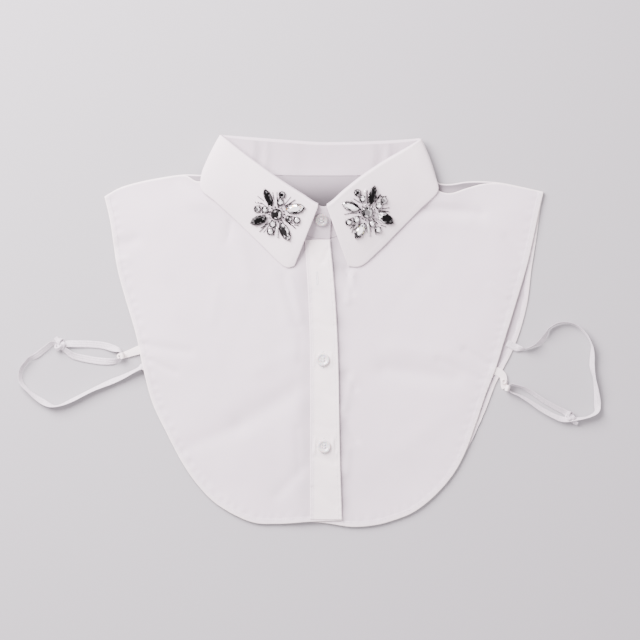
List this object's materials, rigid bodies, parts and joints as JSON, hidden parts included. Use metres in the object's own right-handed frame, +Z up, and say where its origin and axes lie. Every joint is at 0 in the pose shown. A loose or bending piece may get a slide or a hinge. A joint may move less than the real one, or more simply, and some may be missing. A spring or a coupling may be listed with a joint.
{
  "type": "detachable shirt collar",
  "caption": "White cotton detachable shirt collar with a buttoned bib front and back, elastic side loops and jewelled collar points, laid flat with its front up",
  "frame": {"origin": "on the resting plane, under the middle of the garment's bounding box without the elastic ties", "axes": "+Z up from the surface the garment lies on and out of its front, +Y from the hem to the collar, +X to the wearer's left"},
  "size_m": [0.5241, 0.3522, 0.0222],
  "materials": {
    "poplin": "plain-woven white cotton, matt",
    "elastic": "white braided flat elastic, ribbed lengthwise",
    "button": "translucent white shirt button, polished",
    "clear_crystal": "clear cut glass, foiled back",
    "smoke_crystal": "black and smoke-grey cut glass"
  },
  "bodies": {
    "root": {"back_panel": "poplin", "front_panel_right": "poplin", "front_panel_left": "poplin", "front_placket": "poplin", "collar_stand": "poplin", "collar_leaf": "poplin", "tab_right": "poplin", "tab_left": "poplin", "tie_right_outer": "elastic", "tie_right_double": "elastic", "tie_right_knot": "elastic", "tie_left_outer": "elastic", "tie_left_double": "elastic", "tie_left_knot": "elastic", "button_collar": "button", "button_upper": "button", "button_lower": "button", "stone_right_01": "clear_crystal", "stone_right_02": "smoke_crystal", "stone_right_03": "smoke_crystal", "stone_right_04": "clear_crystal", "stone_right_05": "clear_crystal", "stone_right_06": "clear_crystal", "stone_right_07": "clear_crystal", "stone_right_08": "clear_crystal", "stone_right_09": "clear_crystal", "stone_right_10": "clear_crystal", "stone_right_11": "clear_crystal", "stone_right_12": "clear_crystal", "stone_right_13": "clear_crystal", "stone_left_01": "clear_crystal", "stone_left_02": "smoke_crystal", "stone_left_03": "smoke_crystal", "stone_left_04": "clear_crystal", "stone_left_05": "clear_crystal", "stone_left_06": "clear_crystal", "stone_left_07": "clear_crystal", "stone_left_08": "clear_crystal", "stone_left_09": "clear_crystal", "stone_left_10": "clear_crystal", "stone_left_11": "clear_crystal", "stone_left_12": "clear_crystal", "stone_left_13": "clear_crystal"}
  },
  "joints": []
}
